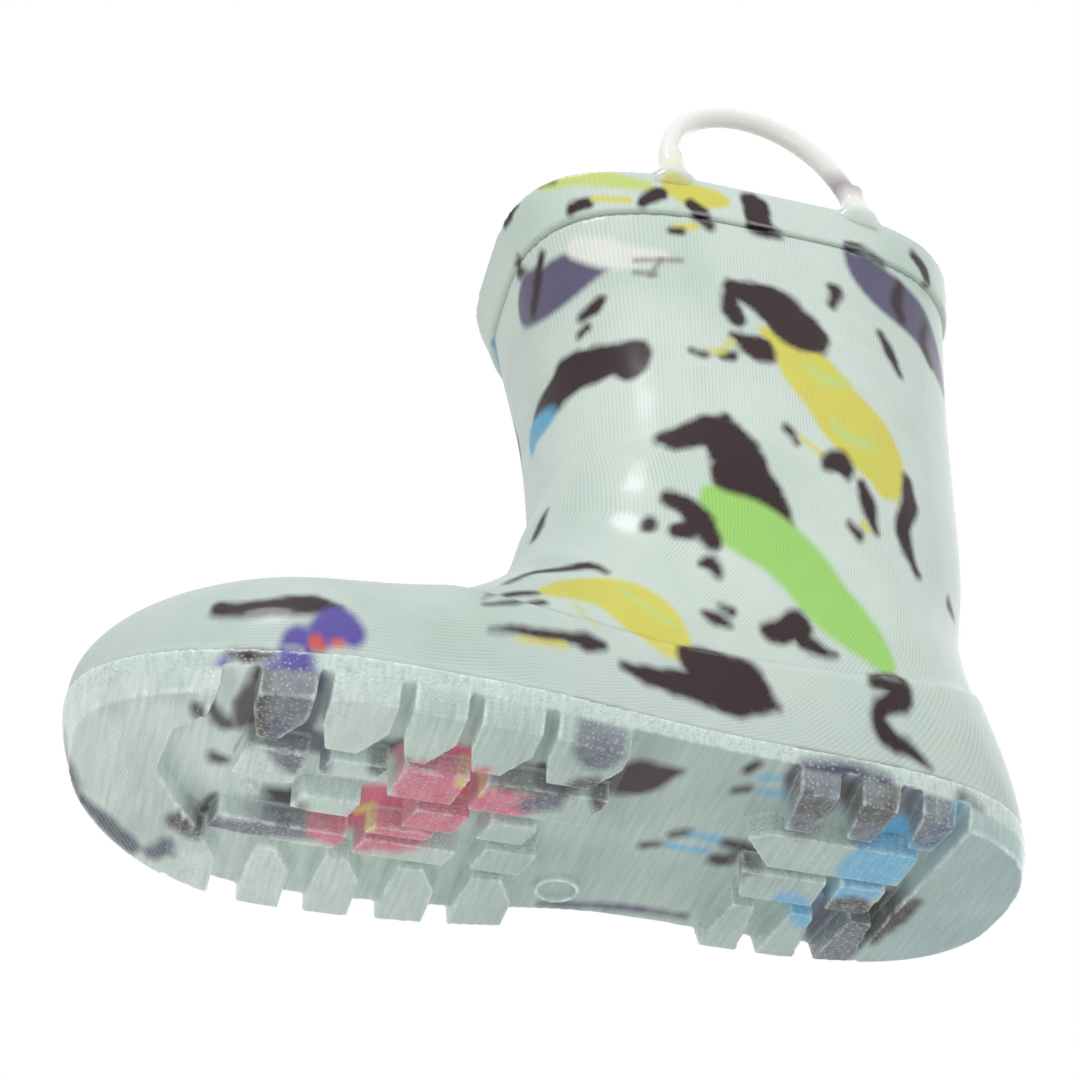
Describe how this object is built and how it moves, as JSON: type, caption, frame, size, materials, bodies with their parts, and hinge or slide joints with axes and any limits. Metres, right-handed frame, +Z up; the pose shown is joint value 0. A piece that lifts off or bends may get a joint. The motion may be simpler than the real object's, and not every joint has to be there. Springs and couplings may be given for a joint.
{
  "type": "rubber rain boot",
  "caption": "Child's pull-on rain boot: clear glossy moulded leg, foot and lugged sole over a printed knit sock lining, thick rim band, pull handles and a loose footbed.",
  "frame": {"origin": "middle of the outsole's length and of the heel's width, on the ground", "axes": "-Y towards the toe, +X towards the outer side of the foot, +Z up the leg"},
  "size_m": [0.0746, 0.1757, 0.1725],
  "materials": {
    "shell_pvc": "clear glossy moulded PVC over a printed sock",
    "band_pvc": "thick clear glossy PVC",
    "handle_pvc": "milky translucent PVC",
    "sole_pvc": "frosted translucent PVC with fine texture",
    "lining_knit": "ribbed polyester knit",
    "panel_knit": "sewn knit panel",
    "seam_thread": "overlock thread",
    "footbed_foam": "soft EVA foam",
    "footbed_cloth": "brushed knit cloth"
  },
  "bodies": {
    "boot": {"upper_shell": "shell_pvc", "rim_band": "band_pvc", "outsole": "sole_pvc", "sock_lining": "lining_knit", "lining_sole": "panel_knit", "sole_seam": "seam_thread"},
    "outer_handle_loop": {"outer_handle": "handle_pvc"},
    "inner_handle_loop": {"inner_handle": "handle_pvc"},
    "footbed": {"footbed_foam": "footbed_foam", "footbed_cover": "footbed_cloth"}
  },
  "joints": [
    {"name": "outer_handle_bend", "type": "hinge", "parent": "boot", "child": "outer_handle_loop", "pos_m": [0.03315, 0.036, 0.1476], "axis": [0, 1, 0], "range_deg": [-55, 55], "stiffness_Nm_per_rad": 0.02},
    {"name": "inner_handle_bend", "type": "hinge", "parent": "boot", "child": "inner_handle_loop", "pos_m": [-0.03315, 0.036, 0.1476], "axis": [0, 1, 0], "range_deg": [-55, 55], "stiffness_Nm_per_rad": 0.02},
    {"name": "footbed_lift", "type": "hinge", "parent": "boot", "child": "footbed", "pos_m": [0, -0.0815, 0.014], "axis": [1, 0, 0], "range_deg": [0, 4]}
  ]
}
